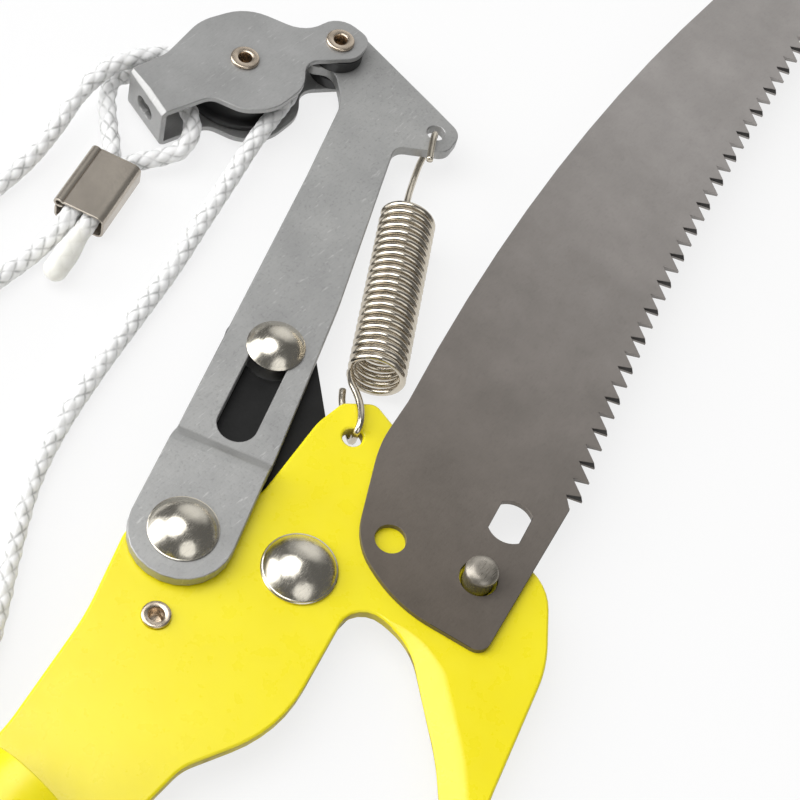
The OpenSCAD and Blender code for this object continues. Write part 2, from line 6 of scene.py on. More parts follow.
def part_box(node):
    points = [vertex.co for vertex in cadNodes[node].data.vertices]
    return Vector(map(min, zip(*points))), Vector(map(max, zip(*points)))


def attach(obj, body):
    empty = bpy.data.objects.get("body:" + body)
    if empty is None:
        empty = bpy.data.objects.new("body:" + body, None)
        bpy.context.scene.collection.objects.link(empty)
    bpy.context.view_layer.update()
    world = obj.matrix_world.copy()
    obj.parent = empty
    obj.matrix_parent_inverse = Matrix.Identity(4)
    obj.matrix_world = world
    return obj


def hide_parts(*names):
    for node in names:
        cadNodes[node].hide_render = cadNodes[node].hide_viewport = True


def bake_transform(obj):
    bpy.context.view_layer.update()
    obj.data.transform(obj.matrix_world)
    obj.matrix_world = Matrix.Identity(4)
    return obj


mm = 0.001
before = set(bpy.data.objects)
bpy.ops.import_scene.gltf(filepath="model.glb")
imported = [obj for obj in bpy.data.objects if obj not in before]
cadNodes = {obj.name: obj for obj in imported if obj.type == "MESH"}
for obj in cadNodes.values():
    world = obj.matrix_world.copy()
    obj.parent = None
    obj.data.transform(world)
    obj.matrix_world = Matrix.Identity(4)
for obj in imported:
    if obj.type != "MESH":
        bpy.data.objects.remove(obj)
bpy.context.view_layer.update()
scene = bpy.context.scene
scene.view_settings.view_transform = "Standard"


# the head's own frame has its zero at the blade pivot, half way through the plate
headZero = Vector((150, -3, -8))


def headPoint(x, y, z=0.0):
    return (Vector((x, y, z)) + headZero) * mm


def flatTurn(x, y, degrees):
    c, s = math.cos(math.radians(degrees)), math.sin(math.radians(degrees))
    return x * c - y * s, x * s + y * c


# camera, as the photograph was taken
view = {"place": (-0.0216, -0.0831, 0.3458), "right": (0.6245, -0.7573, 0.1912),
        "up": (0.5864, 0.6165, 0.5253), "back": (-0.5157, -0.2160, 0.8291),
        "lens": 86.6, "sensor": 36, "near": 0.01}
cameraData = bpy.data.cameras.new("camera")
cameraData.lens = view["lens"]
cameraData.sensor_width = view["sensor"]
cameraData.clip_start = view["near"]
camera = bpy.data.objects.new("camera", cameraData)
scene.collection.objects.link(camera)
axes = Matrix((view["right"], view["up"], view["back"])).transposed().to_4x4()
camera.matrix_world = Matrix.Translation(view["place"]) @ axes
scene.camera = camera
print("camera set")


# small tools for selecting and shaping, with weld distances in metres and angles in degrees
tools = {"weldCopy": 2e-6, "weldNew": 1e-6, "flatAngle": 0.6, "smoothAngle": 35}


def onlySelect(piece):
    bpy.ops.object.select_all(action="DESELECT")
    piece.select_set(True)
    bpy.context.view_layer.objects.active = piece


def newPiece(name, points, faces=(), edges=()):
    mesh = bpy.data.meshes.new(name)
    mesh.from_pydata([tuple(p) for p in points], edges, faces)
    mesh.update()
    piece = bpy.data.objects.new(name, mesh)
    scene.collection.objects.link(piece)
    onlySelect(piece)
    return piece


def wirePiece(name, points):
    # a bare line, to be spun or pulled out in edit mode
    return newPiece(name, points, edges=[(i, i + 1) for i in range(len(points) - 1)])


def copyNode(node, name):
    piece = bpy.data.objects.new(name, cadNodes[node].data.copy())
    scene.collection.objects.link(piece)
    piece.data.materials.clear()
    onlySelect(piece)
    bpy.ops.object.mode_set(mode="EDIT")
    bpy.ops.mesh.select_all(action="SELECT")
    bpy.ops.mesh.remove_doubles(threshold=tools["weldCopy"])
    bpy.ops.mesh.dissolve_limited(angle_limit=math.radians(tools["flatAngle"]))
    bpy.ops.object.mode_set(mode="OBJECT")
    return piece


def easeEdges(piece, width, segments=3, angle=32):
    onlySelect(piece)
    ease = piece.modifiers.new("ease", "BEVEL")
    ease.width = width * mm
    ease.segments = segments
    ease.limit_method = "ANGLE"
    ease.angle_limit = math.radians(angle)
    ease.use_clamp_overlap = False
    bpy.ops.object.modifier_apply(modifier="ease")
    evenNormals(piece)


def evenNormals(piece):
    smoothFaces(piece)
    even = piece.modifiers.new("even", "WEIGHTED_NORMAL")
    even.keep_sharp = True
    bpy.ops.object.modifier_apply(modifier="even")


def smoothFaces(piece):
    onlySelect(piece)
    bpy.ops.object.shade_smooth_by_angle(angle=math.radians(tools["smoothAngle"]))


def inHead(co):
    return Vector(co) / mm - headZero


def pickEdges(piece, test):
    # leaves the piece in edit mode with the edges that pass the test selected
    onlySelect(piece)
    bpy.ops.object.mode_set(mode="EDIT")
    bpy.ops.mesh.select_mode(type="EDGE")
    bpy.ops.mesh.select_all(action="DESELECT")
    bpy.ops.object.mode_set(mode="OBJECT")
    points = piece.data.vertices
    for edge in piece.data.edges:
        edge.select = test(inHead(points[edge.vertices[0]].co), inHead(points[edge.vertices[1]].co))
    bpy.ops.object.mode_set(mode="EDIT")


def foldEdges(piece, test, width, segments):
    pickEdges(piece, test)
    bpy.ops.mesh.bevel(offset=width * mm, segments=segments, affect="EDGES")
    bpy.ops.object.mode_set(mode="OBJECT")


def tidyNormals(piece):
    onlySelect(piece)
    bpy.ops.object.mode_set(mode="EDIT")
    bpy.ops.mesh.select_all(action="SELECT")
    bpy.ops.mesh.remove_doubles(threshold=tools["weldNew"])
    bpy.ops.mesh.normals_make_consistent(inside=False)
    bpy.ops.object.mode_set(mode="OBJECT")


def lathe(name, outline, centre, steps=72):
    # outline is radius and height in millimetres, spun about an upright axis at the centre
    piece = wirePiece(name, [(r * mm, 0, h * mm) for r, h in outline])
    bpy.ops.object.mode_set(mode="EDIT")
    bpy.ops.mesh.select_all(action="SELECT")
    bpy.ops.mesh.spin(steps=steps, angle=2 * math.pi, center=(0, 0, 0), axis=(0, 0, 1))
    bpy.ops.object.mode_set(mode="OBJECT")
    tidyNormals(piece)
    piece.data.transform(Matrix.Translation(centre))
    smoothFaces(piece)
    return piece


def place(piece, body, slot, material, *nodes):
    piece.data.materials.clear()
    piece.data.materials.append(material)
    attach(piece, body)
    if nodes:
        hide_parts(*nodes)


# tubes along a line
def smoothLine(points, parts):
    line = []
    last = len(points) - 1
    for i in range(last):
        a, b = points[max(i - 1, 0)], points[i]
        c, d = points[i + 1], points[min(i + 2, last)]
        for k in range(parts):
            t = k / parts
            line.append(0.5 * (2 * b + (c - a) * t + (2 * a - 5 * b + 4 * c - d) * t * t
                               + (3 * b - a - 3 * c + d) * t * t * t))
    return line + [points[last]]


def evenLine(points, step):
    # points a steady distance apart, and the length so far at each; a short rest is left out
    line, lengths, far, left = [points[0]], [0.0], 0.0, step
    for a, b in zip(points, points[1:]):
        gap = (b - a).length
        done = 0.0
        while gap - done >= left:
            done += left
            line.append(a.lerp(b, done / gap))
            lengths.append(far + done)
            left = step
        left -= gap - done
        far += gap
    if far - lengths[-1] > 0.3 * step:
        line.append(points[-1])
        lengths.append(far)
    return line, lengths


def tube(name, line, lengths, sides, radiusAt, lengthScale):
    # rings carried along the line without twist, with a uv map of length and turn
    points, uvs = [], []
    side = None
    last = len(line) - 1
    for i, p in enumerate(line):
        d = (line[min(i + 1, last)] - line[max(i - 1, 0)]).normalized()
        if side is None:
            side = Vector((0, 0, 1)) if abs(d.z) < 0.9 else Vector((1, 0, 0))
        side = (side - d * side.dot(d)).normalized()
        other = d.cross(side)
        for k in range(sides):
            a = 2 * math.pi * k / sides
            r = radiusAt(lengths[i], a)
            points.append(p + r * (math.cos(a) * side + math.sin(a) * other))
    faces = []
    for i in range(last):
        for k in range(sides):
            a, b = i * sides + k, i * sides + (k + 1) % sides
            faces.append((a, b, b + sides, a + sides))
            u0, u1 = lengths[i] / lengthScale, lengths[i + 1] / lengthScale
            v0, v1 = k / sides, (k + 1) / sides
            uvs += [(u0, v0), (u0, v1), (u1, v1), (u1, v0)]
    for ring, end in ((0, line[0]), (last, line[last])):
        hub = len(points)
        points.append(end)
        for k in range(sides):
            a, b = ring * sides + k, ring * sides + (k + 1) % sides
            faces.append((b, a, hub) if ring == 0 else (a, b, hub))
            u = lengths[ring] / lengthScale
            uvs += [(u, k / sides)] * 3
    piece = newPiece(name, points, faces)
    layer = piece.data.uv_layers.new(name="alongTube")
    for loop, uv in zip(layer.data, uvs):
        loop.uv = uv
    onlySelect(piece)
    bpy.ops.object.shade_smooth()
    return piece


# materials
def startMaterial(name, colour, roughness, metallic=0.0):
    material = bpy.data.materials.new(name)
    material.use_nodes = True
    shader = material.node_tree.nodes["Principled BSDF"]
    shader.inputs["Base Color"].default_value = (*colour, 1)
    shader.inputs["Roughness"].default_value = roughness
    shader.inputs["Metallic"].default_value = metallic
    return material, material.node_tree, shader


def addNode(tree, kind, inputs=None, **settings):
    node = tree.nodes.new(kind)
    for key, value in settings.items():
        setattr(node, key, value)
    for key, value in (inputs or {}).items():
        node.inputs[key].default_value = value
    return node


def noiseFrom(tree, where, scale, detail, stretch, turn=0.0, rough=0.5):
    mapping = addNode(tree, "ShaderNodeMapping",
                      {"Scale": stretch, "Rotation": (0, 0, math.radians(turn))})
    noise = addNode(tree, "ShaderNodeTexNoise",
                    {"Scale": scale, "Detail": detail, "Roughness": rough})
    tree.links.new(where, mapping.inputs["Vector"])
    tree.links.new(mapping.outputs["Vector"], noise.inputs["Vector"])
    return noise.outputs["Fac"]


def noiseOn(tree, scale, detail, stretch=(1, 1, 1), turn=0.0):
    where = addNode(tree, "ShaderNodeTexCoord")
    return noiseFrom(tree, where.outputs["Object"], scale, detail, stretch, turn, 0.55)


def rampOn(tree, value, stops):
    ramp = addNode(tree, "ShaderNodeValToRGB")
    elements = ramp.color_ramp.elements
    while len(elements) < len(stops):
        elements.new(0.5)
    for element, (at, colour) in zip(elements, stops):
        element.position = at
        element.color = (*colour, 1)
    tree.links.new(value, ramp.inputs["Fac"])
    return ramp.outputs["Color"]


def mixColour(tree, kind, amount, a, b):
    mix = addNode(tree, "ShaderNodeMix", data_type="RGBA", blend_type=kind)
    sockets = [s for s in mix.inputs if s.enabled]
    for socket, value in zip(sockets, (amount, a, b)):
        if hasattr(value, "is_linked"):
            tree.links.new(value, socket)
        else:
            socket.default_value = value if isinstance(value, (int, float)) else (*value, 1)
    return [s for s in mix.outputs if s.enabled][0]


def spread(tree, value, low, high, fromLow=0.3, fromHigh=0.7):
    change = addNode(tree, "ShaderNodeMapRange", {"From Min": fromLow, "From Max": fromHigh,
                                                  "To Min": low, "To Max": high})
    tree.links.new(value, change.inputs["Value"])
    return change.outputs["Result"]


def maths(tree, operation, a, b=None):
    node = addNode(tree, "ShaderNodeMath", operation=operation)
    for socket, value in zip(node.inputs, (a, b)):
        if value is None:
            continue
        if hasattr(value, "is_linked"):
            tree.links.new(value, socket)
        else:
            socket.default_value = value
    return node.outputs["Value"]


def bumpFrom(tree, shader, height, strength, distance):
    bump = addNode(tree, "ShaderNodeBump", {"Strength": strength, "Distance": distance})
    tree.links.new(height, bump.inputs["Height"])
    tree.links.new(bump.outputs["Normal"], shader.inputs["Normal"])


def makePaint(name, low, high):
    paint, tree, shader = startMaterial(name, high, 0.3)
    shader.inputs["Coat Weight"].default_value = 0.35
    shader.inputs["Coat Roughness"].default_value = 0.2
    shade = rampOn(tree, noiseOn(tree, 55, 3), [(0.3, low), (0.7, high)])
    tree.links.new(shade, shader.inputs["Base Color"])
    tree.links.new(spread(tree, noiseOn(tree, 260, 4), 0.24, 0.36), shader.inputs["Roughness"])
    bumpFrom(tree, shader, noiseOn(tree, 700, 2), 0.05, 0.0004)
    return paint


def makeWornEdgeAndShade():
    # paint on the cut edges, rubbed through to brown steel in places; its darker olive yellow on
    # every side wall is painted shade
    wornShaded, tree, shader = startMaterial("wornEdgeAndShade", (0.5, 0.41, 0.04), 0.45)
    rubbedAndShaded = rampOn(tree, noiseOn(tree, 110, 5), [
        (0.33, (0.24, 0.17, 0.03)), (0.43, (0.5, 0.41, 0.04)), (0.66, (0.7, 0.6, 0.045))])
    tree.links.new(rubbedAndShaded, shader.inputs["Base Color"])
    tree.links.new(spread(tree, noiseOn(tree, 400, 3), 0.36, 0.6), shader.inputs["Roughness"])
    bumpFrom(tree, shader, noiseOn(tree, 900, 3), 0.2, 0.0003)
    return wornShaded


# scale, stretch and lean of the light scratches on steel
scratches = ((230, (1, 6, 1), 50), (150, (1, 11, 1), -35), (420, (1, 3, 1), 5))


def makeSteel(name, dark, light, roughLow, roughHigh, turn, pits=0.25, metallic=0.45, brush=0.25,
              marks=0.0, paintedShade=None):
    steel, tree, shader = startMaterial(name, light, roughLow, metallic)
    cloud = noiseOn(tree, 90, 5)
    grit = noiseOn(tree, 1500, 3)
    lines = noiseOn(tree, 420, 3, (1, 14, 1), turn)
    colour = rampOn(tree, cloud, [(0.3, dark), (0.7, light)])
    colour = mixColour(tree, "MULTIPLY", brush, colour,
                       rampOn(tree, lines, [(0.35, (0.72, 0.72, 0.72)), (0.6, (1, 1, 1))]))
    colour = mixColour(tree, "MULTIPLY", pits, colour,
                       rampOn(tree, grit, [(0.3, (0.35, 0.35, 0.35)), (0.45, (1, 1, 1))]))
    if marks:
        bright = tuple(min(1, 1.45 * c) for c in light)
        for scale, stretch, lean in scratches:
            streaks = noiseOn(tree, scale, 3, stretch, turn + lean)
            scratch = spread(tree, streaks, 0, marks, 0.66, 0.74)
            colour = mixColour(tree, "MIX", scratch, colour, bright)
    if paintedShade:
        # painted reflection: the steel is drawn darker and browner towards the blade's root, where
        # the room's reflection on it falls off
        where = addNode(tree, "ShaderNodeTexCoord")
        parts = addNode(tree, "ShaderNodeSeparateXYZ")
        tree.links.new(where.outputs["Object"], parts.inputs["Vector"])
        along = spread(tree, parts.outputs["X"], 0, 1, paintedShade["from"], paintedShade["to"])
        colour = mixColour(tree, "MULTIPLY", 1.0, colour,
                           rampOn(tree, along, [(0, paintedShade["root"]), (1, (1, 1, 1))]))
    tree.links.new(colour, shader.inputs["Base Color"])
    tree.links.new(spread(tree, lines, roughLow, roughHigh), shader.inputs["Roughness"])
    bumpFrom(tree, shader, grit, 0.12, 0.0002)
    return steel


def makeNickel(name, colour, roughness):
    nickel, tree, shader = startMaterial(name, colour, roughness, 1.0)
    lines = noiseOn(tree, 900, 3, (1, 6, 1), 35)
    dull = tuple(0.9 * c for c in colour)
    shade = rampOn(tree, noiseOn(tree, 160, 4), [(0.3, dull), (0.7, colour)])
    tree.links.new(shade, shader.inputs["Base Color"])
    rough = spread(tree, lines, roughness * 0.8, roughness * 1.5)
    tree.links.new(rough, shader.inputs["Roughness"])
    bumpFrom(tree, shader, noiseOn(tree, 170, 2), 0.22, 0.0012)
    return nickel


def makePlastic(name, colour, roughness, gloss=0.5):
    plastic, tree, shader = startMaterial(name, colour, roughness)
    shader.inputs["Specular IOR Level"].default_value = gloss
    grain = noiseOn(tree, 1200, 3)
    dull = tuple(0.75 * c for c in colour)
    shade = rampOn(tree, noiseOn(tree, 200, 3), [(0.3, dull), (0.7, colour)])
    tree.links.new(shade, shader.inputs["Base Color"])
    rough = spread(tree, grain, roughness - 0.08, roughness + 0.1)
    tree.links.new(rough, shader.inputs["Roughness"])
    bumpFrom(tree, shader, grain, 0.15, 0.0002)
    return plastic


# braid of the rope: cell, melted end and tip in metres, the rest of the radius in millimetres
braid = {"strands": 4, "cell": 4.6 * mm, "core": 2.13, "relief": 0.65, "level": 0.7,
         "crown": 0.6, "weave": 0.4, "coilRelief": 0.35, "meltRelief": 0.1, "meltEnd": 0.013,
         "meltFade": 0.004, "swell": 0.72, "swellEnd": 0.0135, "swellFade": 0.005,
         "tip": 2.6 * mm, "tipLeast": 0.05}


def makeRope():
    rope, tree, shader = startMaterial("whiteBraid", (0.86, 0.86, 0.84), 0.55)
    shader.inputs["Sheen Weight"].default_value = 0.5
    shader.inputs["Subsurface Weight"].default_value = 0.45
    shader.inputs["Subsurface Radius"].default_value = (1, 1, 1)
    shader.inputs["Subsurface Scale"].default_value = 0.002
    where = addNode(tree, "ShaderNodeUVMap", uv_map="alongTube").outputs["UV"]
    parts = addNode(tree, "ShaderNodeSeparateXYZ")
    tree.links.new(where, parts.inputs["Vector"])
    along = parts.outputs["X"]
    around = maths(tree, "MULTIPLY", parts.outputs["Y"], braid["strands"])
    one, two = maths(tree, "ADD", around, along), maths(tree, "SUBTRACT", around, along)
    threads = [maths(tree, "ABSOLUTE", maths(tree, "SINE", maths(tree, "MULTIPLY", line, math.pi)))
               for line in (one, two)]
    seam = maths(tree, "MINIMUM", threads[0], threads[1])
    fibre = noiseFrom(tree, where, 9.0, 3.0, (1.0, 14.0, 1.0))
    patch = noiseFrom(tree, where, 1.0, 2.0, (1.4, 5.0, 1.0))
    unshadedWhite = (0.99, 0.99, 0.985)
    # painted shade: the seams between the strands are darkened, in patches set by noise
    base = rampOn(tree, seam, [
        (0.05, (0.5, 0.5, 0.495)), (0.35, (0.8, 0.8, 0.795)), (0.62, unshadedWhite)])
    base = mixColour(tree, "MIX", spread(tree, patch, 0.3, 1.0, 0.42, 0.6), unshadedWhite, base)
    base = mixColour(tree, "MULTIPLY", 0.2, base,
                     rampOn(tree, fibre, [(0.3, (0.84, 0.84, 0.835)), (0.6, (1, 1, 1))]))
    melted = spread(tree, along, 0.85, 0.0, 2.8, 3.8)
    base = mixColour(tree, "MIX", melted, base, (0.94, 0.92, 0.84))
    tree.links.new(base, shader.inputs["Base Color"])
    height = maths(tree, "ADD", seam, maths(tree, "MULTIPLY", fibre, 0.5))
    bumpFrom(tree, shader, height, 0.25, 0.0004)
    return rope


def makeTape():
    tape, tree, shader = startMaterial("tieTape", (0.8, 0.8, 0.78), 0.7)
    threads = noiseOn(tree, 900, 2, (1, 1, 6))
    tint = rampOn(tree, threads, [(0.3, (0.66, 0.66, 0.64)), (0.65, (0.84, 0.84, 0.82))])
    tree.links.new(tint, shader.inputs["Base Color"])
    tree.links.new(spread(tree, threads, 0.6, 0.8), shader.inputs["Roughness"])
    bumpFrom(tree, shader, threads, 0.4, 0.0003)
    return tape


lemonPaint = makePaint("lemonPaint", (0.91, 0.775, 0.007), (0.94, 0.82, 0.012))
wornEdgeAndShade = makeWornEdgeAndShade()
leverSteel = makeSteel("leverSteel", (0.37, 0.37, 0.365), (0.45, 0.45, 0.44), 0.34, 0.48, 20,
                       marks=0.45)
strapSteel = makeSteel("strapSteel", (0.36, 0.36, 0.355), (0.44, 0.44, 0.435), 0.28, 0.42, 70,
                       pits=0.12, marks=0.35)
# the saw's darker, browner root is painted reflection fall-off along the blade
sawSteel = makeSteel("sawSteel", (0.34, 0.32, 0.305), (0.41, 0.385, 0.37), 0.36, 0.5, 8, pits=0.1,
                     paintedShade={"from": 0.16, "to": 0.31, "root": (0.36, 0.32, 0.27)})
zincSteel = makeSteel("zincSteel", (0.42, 0.42, 0.41), (0.55, 0.55, 0.54), 0.34, 0.5, 0,
                      metallic=0.7)
clipSteel = makeSteel("clipSteel", (0.44, 0.395, 0.34), (0.56, 0.505, 0.435), 0.2, 0.26, 16,
                      pits=0.0, metallic=0.75, brush=0.0)
blackSteel = makePlastic("blackSteel", (0.016, 0.016, 0.016), 0.5, 0.2)
blackPlastic = makePlastic("blackPlastic", (0.026, 0.026, 0.026), 0.42)
rivetNickel = makeNickel("rivetNickel", (0.7, 0.66, 0.57), 0.2)
warmNickel = makeNickel("warmNickel", (0.66, 0.56, 0.45), 0.24)
springNickel = makeNickel("springNickel", (0.68, 0.62, 0.52), 0.18)
toothGrind = makeSteel("toothGrind", (0.03, 0.028, 0.027), (0.06, 0.056, 0.053), 0.3, 0.45, 60)
studSteel = makeSteel("studSteel", (0.15, 0.135, 0.11), (0.5, 0.46, 0.4), 0.24, 0.42, 40,
                      pits=0.5, metallic=0.7)
tieTape = makeTape()
whiteBraid = makeRope()
print("materials made")


# the rope, from its rounded end through the clip, the eye, the wheel and down to its coil
floorZ = -8   # what the head lies on, in the head's own frame
rope = {"d": 4.5, "gap": 0.3, "step": 0.7, "coilStep": 2.0, "sides": 28, "clipAt": (43, 99),
        "clipTurn": 16, "clipDeep": 7.2, "strandGap": 0.15, "axle": (91.8, 98.6), "wheelR": 13.5,
        "groove": 3.6, "lineParts": 12, "coilParts": 4}
lie = floorZ + rope["d"] / 2 + rope["gap"]
clipZ = floorZ + rope["clipDeep"] / 2 + rope["gap"]
strand = rope["d"] / 2 + rope["strandGap"]
wrap = rope["wheelR"] - rope["groove"] + rope["d"] / 2 + rope["gap"]


def inClip(along, side):
    x, y = flatTurn(along, side, rope["clipTurn"])
    return (rope["clipAt"][0] + x, rope["clipAt"][1] + y, clipZ)


eyeRoute = [inClip(a, -strand) for a in (-27, -20, -12, -4, 4, 11)] + [
    (60.5, 96.6, -3.8), (65.2, 94.2, -2.8), (70.4, 95.2, -1.2), (74.4, 100, -0.8),
    (75.4, 106, -0.8), (75.2, 112, -1), (74, 116.8, -2.2), (70.4, 119.8, -3),
    (65.4, 117.8, -3.4), (59.4, 111.6, -3.8)
] + [inClip(a, strand) for a in (11, 4, -4, -12)]
bightRoute = [
    (21, 97.2, lie), (8, 97.4, lie), (-4, 97.8, lie), (-11.6, 100.6, lie), (-15, 107, lie),
    (-11.6, 113.4, lie), (-4, 116.4, lie), (10, 116.4, lie), (24, 116, lie),
    (37, 116.4, lie + 1), (48, 118, -2.2), (58, 120, 0.8), (68, 120, 2.4), (76, 117.4, 2.4),
    (84, 113.6, 0.5)]
wrapRoute = [(rope["axle"][0] + wrap * math.cos(math.radians(a)),
              rope["axle"][1] + wrap * math.sin(math.radians(a)), 0)
             for a in range(100, -81, -15)]
coil = {"at": (-139, 60.5), "middle": 22.5, "turns": 4, "layers": 4, "step": 5.5, "tie": 1,
        "rings": 24, "tuck": 0.2}
coilLow = floorZ + coil["tie"] + rope["gap"] + rope["d"] / 2
coilOut = coil["middle"] + (coil["turns"] - 1) / 2 * coil["step"]
coilIn = coil["middle"] - (coil["turns"] - 1) / 2 * coil["step"]
leadRoute = [
    (80, 83.4, -0.6), (68, 80.4, -2.6), (54, 76.8, -4.4), (40, 73, lie), (24, 69.2, lie),
    (8, 65.4, lie), (-8, 60.8, lie), (-22, 55, lie), (-36, 46.4, lie), (-50, 37, lie),
    (-64, 29.2, lie), (-78, 24.6, coilLow - 0.6), (-88, 22.8, coilLow), (-100, 22.4, coilLow),
    (-112, 23.6, coilLow), (-123, 26.4, coilLow),
    (coil["at"][0] + 7.5, coil["at"][1] - coilOut - 0.7, coilLow)]
layerSpan = coil["turns"] - 0.5


def coilPoint(t):
    layer = min(coil["layers"] - 1, math.floor(t / layerSpan))
    past = t - layer * layerSpan
    share = min(1, past / (coil["turns"] - 1))
    climb = min(1, max(0, (past - coil["turns"] + 1) / 0.5))
    tuck = coil["step"] * max(0, (t - coil["layers"] * layerSpan) / coil["tuck"])
    r = coilOut + (coilIn - coilOut) * (share if layer % 2 == 0 else 1 - share) - tuck
    a = math.radians(-90 - 360 * t)
    return (coil["at"][0] + r * math.cos(a), coil["at"][1] + r * math.sin(a),
            coilLow + coil["step"] * (layer + climb))


coilCount = int((coil["layers"] * layerSpan + coil["tuck"]) * coil["rings"])
coilRoute = [coilPoint(i / coil["rings"]) for i in range(coilCount + 1)]
runPoints = [headPoint(*p) for p in eyeRoute + bightRoute + wrapRoute + leadRoute]
coilPoints = [headPoint(*p) for p in coilRoute]
endDir = (coilPoints[-1] - coilPoints[-2]).normalized()
coilPoints.append(coilPoints[-1] + endDir * rope["d"] * mm)
runLine, runLengths = evenLine(
    smoothLine(runPoints + coilPoints[:2], rope["lineParts"]), rope["step"] * mm)
coilLine, coilLengths = evenLine(
    smoothLine(coilPoints[1:], rope["coilParts"]), rope["coilStep"] * mm)
ropeLine = runLine[:-1] + coilLine
ropeLengths = runLengths[:-1] + [runLengths[-1] + s for s in coilLengths]
runLength, ropeLength = runLengths[-1], ropeLengths[-1]


def braidRadius(length, angle):
    # eight strands, four each way, over and under
    around = braid["strands"] * angle / (2 * math.pi)
    along = length / braid["cell"]
    u, v = around + along, around - along
    i, j = math.floor(u), math.floor(v)
    one = 1 - (2 * (u - i) - 1) ** 2
    two = 1 - (2 * (v - j) - 1) ** 2
    crown, weave = braid["crown"], braid["weave"]
    high = max(crown * one + weave * (-1) ** i * math.cos(math.pi * (v - 0.5)),
               crown * two - weave * (-1) ** j * math.cos(math.pi * (u - 0.5)))
    fade = max(braid["meltRelief"], min(1.0, (length - braid["meltEnd"]) / braid["meltFade"]))
    if length > runLength:
        fade = braid["coilRelief"]
    swell = braid["swell"] * max(0.0, min(1.0, (braid["swellEnd"] - length) / braid["swellFade"]))
    tip = 1.0
    if length < braid["tip"]:
        tip = math.sqrt(max(braid["tipLeast"], 1 - (1 - length / braid["tip"]) ** 2))
    return (braid["core"] + swell + braid["relief"] * (high - braid["level"]) * fade) * mm * tip


ropePiece = tube("rope", ropeLine, ropeLengths, rope["sides"], braidRadius, braid["cell"])
print("rope", round(ropeLength, 3), "m, of which the coil", round(coilLengths[-1], 3))


# lathe-made pieces
dome = {"rim": 0.25, "clear": 0.3, "steps": 24}


def domeOutline(r, height, low, base):
    # a domed head from its rim at base up to its crown
    sphere = (r * r + height * height) / (2 * height)
    rim = [(r - dome["rim"], base), (r, base + dome["rim"])]
    arc = []
    top = math.asin(min(1, r / sphere))
    for i in range(1, dome["steps"] + 1):
        a = top * (1 - i / dome["steps"])
        arc.append((sphere * math.sin(a), base + height - sphere + sphere * math.cos(a)))
    return low + rim + [p for p in arc if p[1] > base + dome["clear"]]


rivets = {
    "leverRivet": {"at": (-11.6, 22.3), "r": 7.5, "h": 4.0, "base": 4.9, "shank": 4.0, "low": -1.5,
                   "body": "head", "node": "lever_pivot_rivet"},
    "bladeRivet": {"at": (0, 0), "r": 7.95, "h": 4.0, "base": 2.3, "shank": 4.0, "low": -5.7,
                   "back": 6.0, "body": "head", "node": "blade_pivot_rivet"},
    "driveRivet": {"at": (37.9, 40), "r": 6.6, "h": 3.5, "base": 1.6, "shank": 2.2, "low": -5.7,
                   "back": 4.6, "body": "drive", "node": "drive_rivet"},
}
backDeep = 1.9
for name, rivet in rivets.items():
    shank, end = rivet["shank"], rivet["low"]
    if "back" in rivet:
        b, z = rivet["back"], end - backDeep
        low = [(0, z), (b - 0.5, z), (b - 0.15, z + 0.15), (b, z + 0.5), (b, end), (shank, end)]
    else:
        low = [(0, end), (shank - 0.2, end), (shank, end + 0.2)]
    low.append((shank, rivet["base"]))
    outline = domeOutline(rivet["r"], rivet["h"], low, rivet["base"])
    piece = lathe(name, outline, headPoint(*rivet["at"]))
    place(piece, rivet["body"], "nickel", rivetNickel, rivet["node"])

washers = {
    "bladeFrontWasher": {"at": (0, 0), "r": 8.2, "hole": 4.05, "z": 1.5, "slot": "nickel",
                         "look": rivetNickel, "body": "head", "node": "blade_front_washer"},
    "bladeBackWasher": {"at": (0, 0), "r": 8.5, "hole": 4.05, "z": -5.7, "slot": "zinc",
                        "look": zincSteel, "body": "head", "node": "blade_back_washer"},
    "driveWasher": {"at": (37.9, 40), "r": 8.5, "hole": 2.2, "z": -5.7, "slot": "zinc",
                    "look": zincSteel, "body": "drive", "node": "drive_washer"},
}
washerSheet = {"thick": 0.8, "ease": 0.2}
for name, washer in washers.items():
    r, h, z = washer["r"], washer["hole"], washer["z"]
    t, e = washerSheet["thick"], washerSheet["ease"]
    outline = [(h + e, z), (r - e, z), (r, z + e), (r, z + t - e), (r - e, z + t), (h + e, z + t),
               (h, z + t - e), (h, z + e), (h + e, z)]
    piece = lathe(name, outline, headPoint(*washer["at"]))
    place(piece, washer["body"], washer["slot"], washer["look"], washer["node"])

eyelets = {
    "plateEyelet": {"at": (-28.4, 13.7), "low": -1.5, "high": 1.5, "rim": 3.1, "blind": True,
                    "body": "head", "node": "plate_eyelet"},
    "pulleyAxle": {"at": (91.8, 98.6), "low": -6.1, "high": 6.1, "rim": 3.5, "blind": False,
                   "body": "lever", "node": "pulley_axle"},
    "strapRivet": {"at": (114, 87), "low": -6.1, "high": 6.1, "rim": 3.5, "blind": False,
                   "body": "lever", "node": "strap_rivet"},
}
eyeletTube = {"r": 2.6, "hole": 1.6, "roll": 0.8, "rollSteps": 8, "steps": 48}


def rolledRim(rim, thick, middle):
    # the half round edge of a rolled rim
    arc = []
    for i in range(eyeletTube["rollSteps"] + 1):
        a = math.radians(-90 + 180 * i / eyeletTube["rollSteps"])
        arc.append((rim - thick / 2 + thick / 2 * math.cos(a), middle + thick / 2 * math.sin(a)))
    return arc


